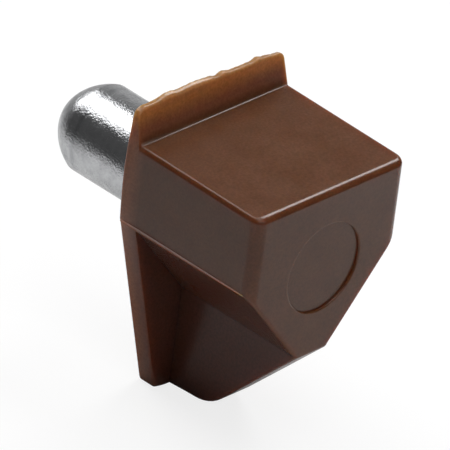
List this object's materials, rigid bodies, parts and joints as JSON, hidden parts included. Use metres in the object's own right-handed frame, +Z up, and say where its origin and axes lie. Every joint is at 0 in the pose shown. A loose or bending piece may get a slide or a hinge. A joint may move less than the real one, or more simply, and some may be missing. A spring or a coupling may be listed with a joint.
{
  "type": "shelf support pin",
  "caption": "Plug-in shelf support: a plain steel pin for a drilled cabinet side, with a moulded plastic block that has a level seat, a thin stop lip and a web below.",
  "frame": {"origin": "on the steel pin's axis, in the plate's flat back face that lies against the cabinet side", "axes": "+Y along the pin, into the cabinet side; +Z up, out of the seat that the shelf rests on; X across the width, and the part is the same on both sides of X = 0"},
  "size_m": [0.0108, 0.018, 0.0172],
  "materials": {
    "moulded_plastic": "satin brown moulded plastic",
    "plated_steel": "bright plated steel, slightly uneven"
  },
  "bodies": {
    "root": {"support_body": "moulded_plastic", "steel_pin": "plated_steel"}
  },
  "joints": []
}
